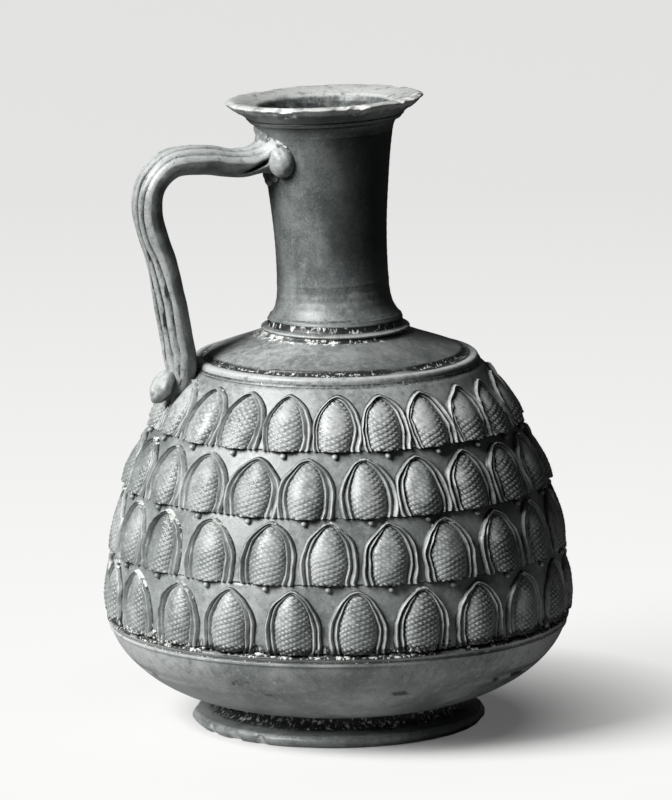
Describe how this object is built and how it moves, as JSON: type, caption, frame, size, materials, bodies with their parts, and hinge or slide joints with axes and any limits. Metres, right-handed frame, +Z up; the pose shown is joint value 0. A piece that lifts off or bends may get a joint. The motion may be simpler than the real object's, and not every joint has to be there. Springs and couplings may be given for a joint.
{
  "type": "glazed relief jug",
  "caption": "Glazed ceramic jug with a belly of pine-cone scales in rows, a slender collared neck, a flared lip and a ribbed strap handle on a low foot ring.",
  "frame": {"origin": "centre of the foot ring's base, on the surface that the jug stands on", "axes": "+Z up the jug's axis to its mouth, -Y towards the front, +X to the right; the handle stands at -X, turned 15 degrees towards the front"},
  "size_m": [0.131, 0.1306, 0.1756],
  "materials": {
    "body_glaze": "satin lead glaze, grey, pooled darker in the grooves",
    "relief_glaze": "satin lead glaze, worn paler on the raised cones, dark deposits between them",
    "neck_glaze": "smooth satin lead glaze, the darkest part of the jug",
    "handle_glaze": "satin lead glaze, dark in the grooves between the ribs",
    "worn_rim": "glaze worn thin on the edge, chips of pale bare clay"
  },
  "bodies": {
    "root": {"foot_ring": "body_glaze", "bowl": "body_glaze", "drum": "body_glaze", "scale_belt_1": "relief_glaze", "scale_belt_2": "relief_glaze", "scale_belt_3": "relief_glaze", "scale_belt_4": "relief_glaze", "shoulder": "body_glaze", "neck_collar": "neck_glaze", "neck": "neck_glaze", "lip": "worn_rim", "handle_strap": "handle_glaze", "neck_button_near": "handle_glaze", "neck_button_far": "handle_glaze", "handle_foot_disc": "handle_glaze", "handle_foot_bead": "handle_glaze"}
  },
  "joints": []
}
